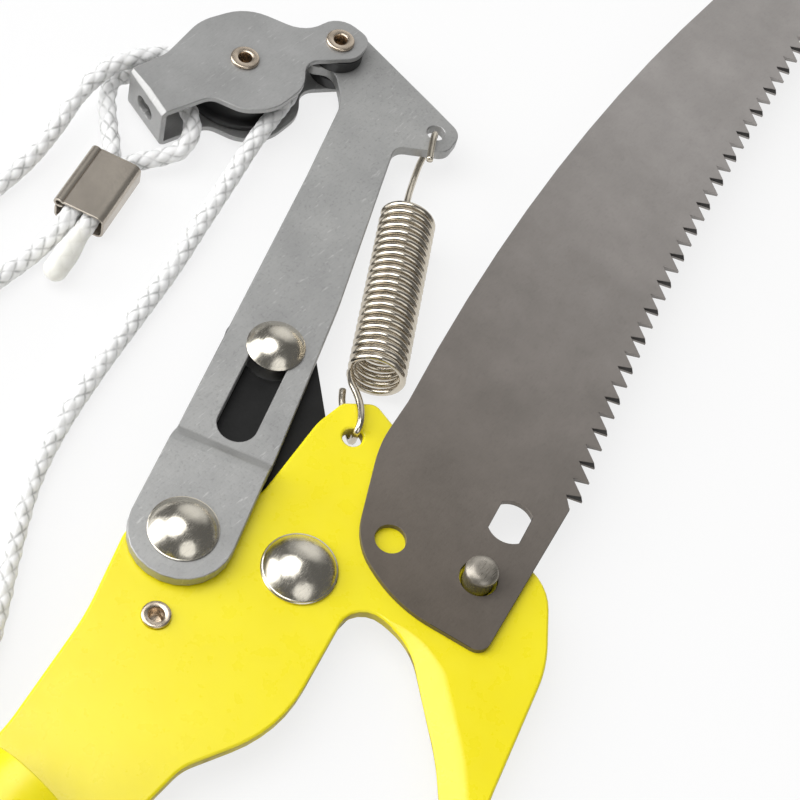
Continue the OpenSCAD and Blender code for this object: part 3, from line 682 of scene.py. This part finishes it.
for name, eyelet in eyelets.items():
    r, hole, t = eyeletTube["r"], eyeletTube["hole"], eyeletTube["roll"]
    rim, low, high = eyelet["rim"], eyelet["low"], eyelet["high"]
    outline = [(r, low), (r, high)] + rolledRim(rim, t, high + t / 2)
    outline += [(hole + 0.5, high + t), (hole + 0.15, high + t - 0.15), (hole, high + t - 0.5)]
    if eyelet["blind"]:
        # filled behind, so only its mouth is hollow
        outline += [(hole, low + 0.6), (hole - 0.3, low + 0.3), (0, low + 0.2)]
        back = [(0, low - t), (rim - t / 2, low - t), (rim, low - t / 2), (rim - 0.1, low)]
        outline = back + outline
    else:
        outline += [(hole, low - t + 0.5), (hole + 0.15, low - t + 0.15), (hole + 0.5, low - t)]
        outline += rolledRim(rim, t, low - t / 2) + [(r, low)]
    piece = lathe(name, outline, headPoint(*eyelet["at"]), eyeletTube["steps"])
    place(piece, eyelet["body"], "nickel", warmNickel, eyelet["node"])
print("rivets, washers and eyelets made")


# pieces that keep their machined shape and get eased edges
plain = {
    "poleSocket": {"node": "pole_socket", "ease": 0.4, "body": "head", "slot": "yellow_paint",
                   "look": lemonPaint},
    "socketBoss": {"node": "socket_boss", "ease": 0.4, "body": "head", "slot": "yellow_paint",
                   "look": lemonPaint},
    "socketScrew": {"node": "socket_screw", "ease": 0.5, "body": "head", "slot": "zinc",
                    "look": zincSteel},
    "cuttingBlade": {"node": "cutting_blade", "ease": 0.25, "body": "blade",
                     "slot": "black_steel", "look": blackSteel},
    "pulleyWheel": {"node": "pulley_wheel", "ease": 0.3, "body": "wheel",
                    "slot": "black_plastic", "look": blackPlastic},
    "strapSpacers": {"node": "strap_spacers", "ease": 0.2, "body": "lever",
                     "slot": "black_plastic", "look": blackPlastic},
    "driveBush": {"node": "drive_bush", "ease": 0.15, "body": "drive", "slot": "black_plastic",
                  "look": blackPlastic},
}
for name, item in plain.items():
    piece = copyNode(item["node"], name)
    easeEdges(piece, item["ease"])
    place(piece, item["body"], item["slot"], item["look"], item["node"])
print("socket, cutting blade and wheel made")


# yellow plate, whose inner hook edge is pressed down
hook = {"ease": 0.7, "wide": 6.2, "deep": 1.6, "front": 1.5, "edge": 0.33,
        "fade": (0.05, 0.62, 0.86), "trace": 0.4, "near": 0.8, "ring": 0.8, "over": 0.8,
        "above": 2.0, "rows": 12, "sink": 0.006,
        "corner": [(0.0, 1.0), (0.04, 0.66), (0.12, 0.36), (0.24, 0.13), (0.4, 0.0)],
        "mouth": [(-29, -63.2, 4), (-12, -47.4, 60), (3.8, -27.6, 16), (3.8, -12.4, 7.2),
                  (-29.1, -20.6, 52)]}


def filleted(points, steps=24):
    # points are x, y and the radius that rounds them
    line = [Vector(points[0][:2])]
    for a, b, c in zip(points, points[1:], points[2:]):
        r, a, b, c = b[2], Vector(a[:2]), Vector(b[:2]), Vector(c[:2])
        u, w = (a - b).normalized(), (c - b).normalized()
        half = math.acos(max(-1, min(1, u.dot(w)))) / 2
        middle = b + (u + w).normalized() * r / math.sin(half)
        first = b + u * r / math.tan(half) - middle
        last = b + w * r / math.tan(half) - middle
        for k in range(steps + 1):
            arm = first.lerp(last, k / steps).normalized()
            line.append(middle + arm * r)
    return line


hookPlate = copyNode("hook_plate", "hookPlate")
guide = evenLine([p.to_3d() for p in filleted(hook["mouth"])], hook["trace"])[0]
mouth = {}
for point in hookPlate.data.vertices:
    p = inHead(point.co)
    if abs(p.z - hook["front"]) < 0.01:
        flat = Vector((p.x, p.y, 0))
        near = min(range(len(guide)), key=lambda i: (guide[i] - flat).length)
        if (guide[near] - flat).length < hook["near"] and 0 < near < len(guide) - 1:
            mouth[near] = flat
easeEdges(hookPlate, hook["ease"])
mouthLine, mouthLengths = evenLine([mouth[i] for i in sorted(mouth)], hook["ring"])


def pressDepth(s):
    # a steady slope over the first part, eased out to the plate's face
    return 1 - s / 0.8 if s < 0.6 else 0.25 * ((1 - s) / 0.4) ** 2


ringPoints, ringFaces, count = [], [], len(mouthLine)
start, hold, stop = hook["fade"]
cornerEnd = hook["corner"][-1][0]
for i, p in enumerate(mouthLine):
    d = (mouthLine[min(i + 2, count - 1)] - mouthLine[max(i - 2, 0)]).normalized()
    inward = Vector((d.y, -d.x, 0))
    share = mouthLengths[i] / mouthLengths[-1]
    fadeIn = min(1.0, 0.5 + 0.5 * share / start)
    k = fadeIn * max(0.02, min(1.0, (stop - share) / (stop - hold)))
    wide = hook["wide"] * k
    # the rounded corner at the wall, then the pressed slope
    across = [(s, pressDepth(s / wide) * hook["deep"] * k + lift * hook["edge"])
              for s, lift in hook["corner"]]
    across.insert(0, (-hook["over"], across[0][1]))
    for j in range(1, hook["rows"] + 1):
        s = cornerEnd + (wide - cornerEnd) * j / hook["rows"]
        across.append((s, pressDepth(s / wide) * hook["deep"] * k - hook["sink"]))
    across += [(wide + 0.2, -hook["above"]), (-hook["over"], -hook["above"])]
    for s, drop in across:
        at = p + inward * s
        ringPoints.append(headPoint(at.x, at.y, hook["front"] - drop))
    if share > stop - 0.02:
        count = i + 1
        break
around = len(ringPoints) // count
for i in range(count - 1):
    for j in range(around):
        a, b = i * around + j, i * around + (j + 1) % around
        ringFaces.append((a, b, b + around, a + around))
ringFaces.append(tuple(range(around)))
ringFaces.append(tuple(reversed(range((count - 1) * around, count * around))))
cutter = newPiece("hookCutter", ringPoints, ringFaces)
tidyNormals(cutter)
onlySelect(hookPlate)
press = hookPlate.modifiers.new("press", "BOOLEAN")
press.operation = "DIFFERENCE"
press.solver = "EXACT"
press.object = cutter
bpy.ops.object.modifier_apply(modifier="press")
bpy.data.objects.remove(cutter)
evenNormals(hookPlate)
place(hookPlate, "head", "yellow_paint", lemonPaint, "hook_plate")
# every side wall of the plate takes the edge material: painted shade of the walls, with rubbed wear
# in places
hookPlate.data.materials.append(wornEdgeAndShade)
for face in hookPlate.data.polygons:
    if abs(face.normal.z) < 0.3:
        face.material_index = 1
print("hook plate made")


# lever, with soft bends at its joggle
lever = {"ease": 0.3, "crest": 1.5, "foot": 0.4, "middle": 21.7, "pivot": (-11.6, 22.3),
         "turn": math.degrees(math.atan2(17.7, 49.5)), "ramp": (18.5, 25.0)}


def alongLever(p):
    return flatTurn(p.x - lever["pivot"][0], p.y - lever["pivot"][1], -lever["turn"])


def joggleEdge(p, q):
    a, b = alongLever(p), alongLever(q)
    low, high = lever["ramp"]
    crosswise = abs(a[0] - b[0]) < 0.08 and abs(a[1] - b[1]) > 2 and abs(p.z - q.z) < 0.05
    return crosswise and low < a[0] < high


def joggleCrest(p, q):
    return joggleEdge(p, q) and alongLever(p)[0] < lever["middle"]


def joggleFoot(p, q):
    return joggleEdge(p, q) and alongLever(p)[0] >= lever["middle"]


leverArm = copyNode("lever_arm", "leverArm")
foldEdges(leverArm, joggleCrest, lever["crest"], 4)
foldEdges(leverArm, joggleFoot, lever["foot"], 3)
easeEdges(leverArm, lever["ease"])
place(leverArm, "lever", "grey_steel", leverSteel, "lever_arm")

# strap, with a flat crease at its upper fold and a round lower fold
strap = {"ease": 0.25, "crease": 1.15, "round": 2.0, "webLow": (64.4, 100),
         "webHigh": (68.9, 114.4), "out": 6.1}


def onWeb(p):
    a, b = Vector(strap["webLow"]), Vector(strap["webHigh"])
    d = (b - a).normalized()
    gap = Vector((p.x, p.y)) - a
    return abs(gap.x * d.y - gap.y * d.x) < 0.1


def upperFold(p, q):
    return onWeb(p) and onWeb(q) and min(p.z, q.z) > strap["out"] - 0.05


def lowerFold(p, q):
    return onWeb(p) and onWeb(q) and max(p.z, q.z) < 0.05 - strap["out"]


pulleyStrap = copyNode("pulley_strap", "pulleyStrap")
foldEdges(pulleyStrap, upperFold, strap["crease"], 1)
foldEdges(pulleyStrap, lowerFold, strap["round"], 5)
easeEdges(pulleyStrap, strap["ease"])
place(pulleyStrap, "lever", "grey_steel", strapSteel, "pulley_strap")
print("lever and strap made")


# saw, each second tooth ground from the other face
saw = {"ease": 0.1, "start": (56.3, -33.4), "slope": 0.35, "curve": 784, "pitch": 4.5,
       "depth": 3.6, "teeth": 54, "low": 1.5, "high": 3.0, "lean": 0.35, "grind": 0.8,
       "groundTilt": (0.1, 0.93), "groundArea": 0.4e-6, "groundReach": 1.5}
sawBlade = copyNode("saw_blade", "sawBlade")
tips = []
for i in range(saw["teeth"]):
    d = i * saw["pitch"]
    y = saw["start"][1] + saw["slope"] * d - d * d / (2 * saw["curve"])
    tips.append(Vector((saw["start"][0] + d, y)))


def groundEdge(p, q):
    # a cutting edge from gullet to tip, on the upper face of one tooth, the lower of the next
    tip, gullet = (p, q) if p.y < q.y else (q, p)
    i = round((tip.x - saw["start"][0]) / saw["pitch"])
    if not 0 <= i < saw["teeth"]:
        return False
    root = tips[i] + Vector((-saw["lean"] * saw["pitch"], saw["depth"]))
    level = saw["high"] if i % 2 == 0 else saw["low"]
    return ((tip.xy - tips[i]).length < 0.2 and (gullet.xy - root).length < 0.25
            and abs(tip.z - level) < 0.1 and abs(gullet.z - level) < 0.1)


foldEdges(sawBlade, groundEdge, saw["grind"], 1)
easeEdges(sawBlade, saw["ease"], 2, 60)
place(sawBlade, "head", "saw_steel", sawSteel, "saw_blade")
sawBlade.data.materials.append(toothGrind)
steepest, flattest = saw["groundTilt"]   # upward share of the face normal
for face in sawBlade.data.polygons:
    p = inHead(face.center)
    i = max(0, min(saw["teeth"] - 1, round((p.x - saw["start"][0]) / saw["pitch"])))
    tilted = steepest < face.normal.z < flattest and face.area > saw["groundArea"]
    if tilted and p.y < tips[i].y + saw["depth"] + saw["groundReach"]:
        face.material_index = 1
print("saw made")


# stud that holds the saw, its end worn round
stud = {"at": (24.8, -28.5), "r": 3.4, "low": -1.5, "high": 7.4, "head": 5.8, "headDeep": 2.5,
        "headEase": 0.6, "hollow": 0.08,
        "end": [(0.0, 2.4), (0.28, 1.5), (0.3, 1.25), (0.12, 0.85), (-0.35, 0.45), (-0.9, 0.18),
                (-1.5, 0.03), (-2.2, 0.0)]}
r, head, back = stud["r"], stud["head"], stud["low"] - stud["headDeep"]
outline = [(0, back), (head - stud["headEase"], back), (head, back + stud["headEase"]),
           (head, stud["low"]), (r, stud["low"])]
outline += [(r + wider, stud["high"] - down) for wider, down in stud["end"]]
outline.append((0, stud["high"] - stud["hollow"]))
sawStud = lathe("sawStud", outline, headPoint(*stud["at"]))
place(sawStud, "head", "grey_steel", studSteel, "saw_stud")
print("stud made")


# rope clip, a strip folded round both strands with its end rolled up
clip = {"long": 18.5, "sheet": 0.6, "roll": (5.3, 2.35), "rollR": 1.05, "rollSteps": 25,
        "wall": 6.0, "top": 3.2, "bend": 1.6, "bendSteps": 6, "lip": 0.7, "ease": 0.16,
        "shoulder": [(4.2, 2.98), (3.85, 3.17)]}
line = []
for k in range(clip["rollSteps"] + 1):
    a = math.radians(-150 + 300 * k / clip["rollSteps"])
    line.append((clip["roll"][0] + clip["rollR"] * math.cos(a),
                 clip["roll"][1] + clip["rollR"] * math.sin(a)))
line += clip["shoulder"]
bend = clip["bend"]
sideAt, topAt = clip["wall"] - bend, clip["top"] - bend
for cx, cz, first in ((-sideAt, topAt, 90), (-sideAt, -topAt, 180), (sideAt, -topAt, 270)):
    for k in range(clip["bendSteps"] + 1):
        a = math.radians(first + 90 / clip["bendSteps"] * k)
        line.append((cx + bend * math.cos(a), cz + bend * math.sin(a)))
line.append((clip["wall"], clip["lip"]))
ropeClip = wirePiece("ropeClip", [(-clip["long"] / 2 * mm, y * mm, z * mm) for y, z in line])
bpy.ops.object.mode_set(mode="EDIT")
bpy.ops.mesh.select_all(action="SELECT")
bpy.ops.mesh.extrude_region_move(TRANSFORM_OT_translate={"value": (clip["long"] * mm, 0, 0)})
bpy.ops.mesh.select_all(action="SELECT")
bpy.ops.mesh.normals_make_consistent(inside=False)
bpy.ops.object.mode_set(mode="OBJECT")
wall = ropeClip.modifiers.new("wall", "SOLIDIFY")
wall.thickness = clip["sheet"] * mm
wall.offset = 0
bpy.ops.object.modifier_apply(modifier="wall")
tidyNormals(ropeClip)
easeEdges(ropeClip, clip["ease"], 2, 50)
clipTurn = Matrix.Rotation(math.radians(rope["clipTurn"]), 4, "Z")
ropeClip.data.transform(Matrix.Translation(headPoint(*rope["clipAt"], clipZ)) @ clipTurn)
place(ropeClip, "lever", "grey_steel", clipSteel, "rope_clip")


# tape round the coil, and the knot at the rope's end
coilTie = copyNode("coil_tie", "coilTie")
easeEdges(coilTie, 0.3, 3)
place(coilTie, "head", "white_rope", tieTape, "coil_tie")
knot = {"rope": 1.75, "steps": 120, "sides": 18, "size": 0.95, "rise": 1.6, "cellsIn": 6}
knotLow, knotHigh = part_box("rope_knot")
knotAt = (Vector(knotLow) + Vector(knotHigh)) / 2
loop = []
for i in range(knot["steps"]):
    a = 2 * math.pi * i / knot["steps"]
    turn = Vector((math.sin(a) + 2 * math.sin(2 * a), math.cos(a) - 2 * math.cos(2 * a),
                   -knot["rise"] * math.sin(3 * a)))
    loop.append(knotAt + turn * knot["size"] * mm)
loop += loop[:2]
knotLengths = [0.0]
for a, b in zip(loop, loop[1:]):
    knotLengths.append(knotLengths[-1] + (b - a).length)
# the pattern starts past the melted end
knotLengths = [s + knot["cellsIn"] * braid["cell"] for s in knotLengths]
ropeKnot = tube("ropeKnot", loop, knotLengths, knot["sides"],
                lambda length, angle: knot["rope"] * mm, braid["cell"])
place(ropeKnot, "head", "white_rope", whiteBraid, "rope_knot")
print("clip, tie and knot made")


# the return spring, one wire from hook to hook
spring = {"low": (32.6, 12.9), "high": (113.4, 54.4), "outer": 6.8, "wire": 1.65, "curls": 22,
          "pitch": 2.1, "start": 17.3, "leanLow": -1.6, "leanHigh": 0.95, "step": 0.6,
          "sides": 12, "perCurl": 24, "plate": 1.5, "hookGap": 0.6, "hookParts": 8}
springAxis = Vector(spring["high"]) - Vector(spring["low"])
springLength = springAxis.length
springAxis.normalize()


def onSpring(along, side, z):
    x = spring["low"][0] + springAxis.x * along - springAxis.y * side
    y = spring["low"][1] + springAxis.y * along + springAxis.x * side
    return headPoint(x, y, z)


meanR = spring["outer"] - spring["wire"] / 2
hookZ = spring["plate"] + spring["wire"] / 2 + spring["hookGap"]
coilStop = spring["start"] + spring["curls"] * spring["pitch"]
lowerHook = [onSpring(*p) for p in (
    (14, 4.8, -hookZ), (10.8, 4.2, -hookZ), (6, 2.4, -hookZ), (3, 0.9, -hookZ), (1.3, 0, -2.4),
    (0.9, -0.3, -1), (0.9, -0.4, 1), (1.3, -0.6, 2.4), (3.4, -0.7, hookZ + 0.2), (7, 0.1, hookZ),
    (10.4, 1.6, hookZ - 0.6), (13.4, meanR + spring["leanLow"] - 1, 1.6))]
curls = []
curlPoints = spring["curls"] * spring["perCurl"]
for i in range(curlPoints + 1):
    a = -2 * math.pi * i / spring["perCurl"]
    lean = spring["leanLow"] + (spring["leanHigh"] - spring["leanLow"]) * i / curlPoints
    curls.append(onSpring(spring["start"] + spring["pitch"] * i / spring["perCurl"],
                          meanR * math.cos(a) + lean, meanR * math.sin(a)))
upperHook = [onSpring(coilStop + s, a + spring["leanHigh"], z) for s, a, z in (
    (0.9, meanR - 1.2, -2.6), (1.6, meanR - 3.4, -2.4), (2.6, 1.6, -1.2), (4.4, 1.35, -0.1))]
upperHook += [onSpring(springLength + s, a, z) for s, a, z in (
    (-18.3, 2.3, -0.8), (-11, 2, -hookZ + 0.4), (-7, 1.7, -hookZ - 0.2), (-3.4, 1.1, -hookZ - 0.2),
    (-1.3, 0.5, -2.4), (-0.9, 0.2, -1), (-0.9, 0.1, 1), (-1.3, 0.2, 2.4), (-3.4, 0.3, hookZ),
    (-6.5, 0.1, hookZ), (-10.4, -0.2, hookZ))]
wireLine = smoothLine(lowerHook + curls[:1], spring["hookParts"])[:-1] + curls
wireLine += smoothLine(curls[-1:] + upperHook, spring["hookParts"])[1:]
wireLine, wireLengths = evenLine(wireLine, spring["step"] * mm)
springPiece = tube("returnSpring", wireLine, wireLengths, spring["sides"],
                   lambda length, angle: spring["wire"] / 2 * mm, 1.0)
springPiece.data.materials.append(springNickel)
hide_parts("return_spring", "spring_hook")
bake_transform(springPiece)
print("spring made")


# the rope gets its braid material, the rope pieces from model.glb are hidden and its place is baked
# in
ropePiece.data.materials.append(whiteBraid)
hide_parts("rope_standing", "rope_lead", "rope_coil")
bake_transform(ropePiece)


# floor and studio light
stage = {"floor": -16.0, "sink": 0.0002, "size": 6, "centre": (0.2, 0), "floorGlow": 0.79,
         "room": 0.14, "aim": (0.17, 0.01, 0)}
glows = {"far": {"toward": (0.85, 0.3, 0.43), "from": 0.82, "to": 0.98, "add": 0.8},
         "left": {"toward": (-0.51, 0.79, 0.34), "from": 0.86, "to": 0.95, "add": 4.0}}
lamps = {"overhead": {"at": (0.03, 0.37, 0.9), "size": 0.92, "power": 6.7},
         "low": {"at": (-0.18, -0.55, 0.475), "size": 0.62, "power": 1.1}}
bpy.ops.object.select_all(action="DESELECT")
floorAt = (*stage["centre"], stage["floor"] * mm - stage["sink"])
bpy.ops.mesh.primitive_plane_add(size=stage["size"], location=floorAt)
floor = bpy.context.object
floor.name = "floor"
white, tree, shader = startMaterial("floorWhite", (0.9, 0.9, 0.9), 0.9)
glow = addNode(tree, "ShaderNodeEmission", {"Color": (1, 1, 1, 1), "Strength": 1.0})
path = addNode(tree, "ShaderNodeLightPath")
mirrored = maths(tree, "MAXIMUM", path.outputs["Is Glossy Ray"],
                 path.outputs["Is Transmission Ray"])
seen = maths(tree, "MAXIMUM", path.outputs["Is Camera Ray"], mirrored)
blend = addNode(tree, "ShaderNodeMixShader")
tree.links.new(maths(tree, "MULTIPLY", seen, stage["floorGlow"]), blend.inputs["Fac"])
tree.links.new(shader.outputs["BSDF"], blend.inputs[1])
tree.links.new(glow.outputs["Emission"], blend.inputs[2])
tree.links.new(blend.outputs["Shader"], tree.nodes["Material Output"].inputs["Surface"])
floor.data.materials.append(white)
world = bpy.data.worlds.new("studio")
scene.world = world
world.use_nodes = True
tree = world.node_tree
background = tree.nodes["Background"]
where = addNode(tree, "ShaderNodeTexCoord")
room = stage["room"]
for glow in glows.values():
    toward = addNode(tree, "ShaderNodeVectorMath", operation="DOT_PRODUCT")
    toward.inputs[1].default_value = glow["toward"]
    tree.links.new(where.outputs["Generated"], toward.inputs[0])
    added = spread(tree, toward.outputs["Value"], 0, glow["add"], glow["from"], glow["to"])
    room = maths(tree, "ADD", added, room)
tree.links.new(room, background.inputs["Strength"])
background.inputs["Color"].default_value = (1, 1, 1, 1)
for name, item in lamps.items():
    light = bpy.data.lights.new(name, "AREA")
    light.energy = item["power"]
    light.shape = "DISK"
    light.size = item["size"]
    lamp = bpy.data.objects.new(name, light)
    scene.collection.objects.link(lamp)
    lamp.location = item["at"]
    toAim = Vector(stage["aim"]) - Vector(item["at"])
    lamp.rotation_euler = toAim.to_track_quat("-Z", "Y").to_euler()
print("studio set")
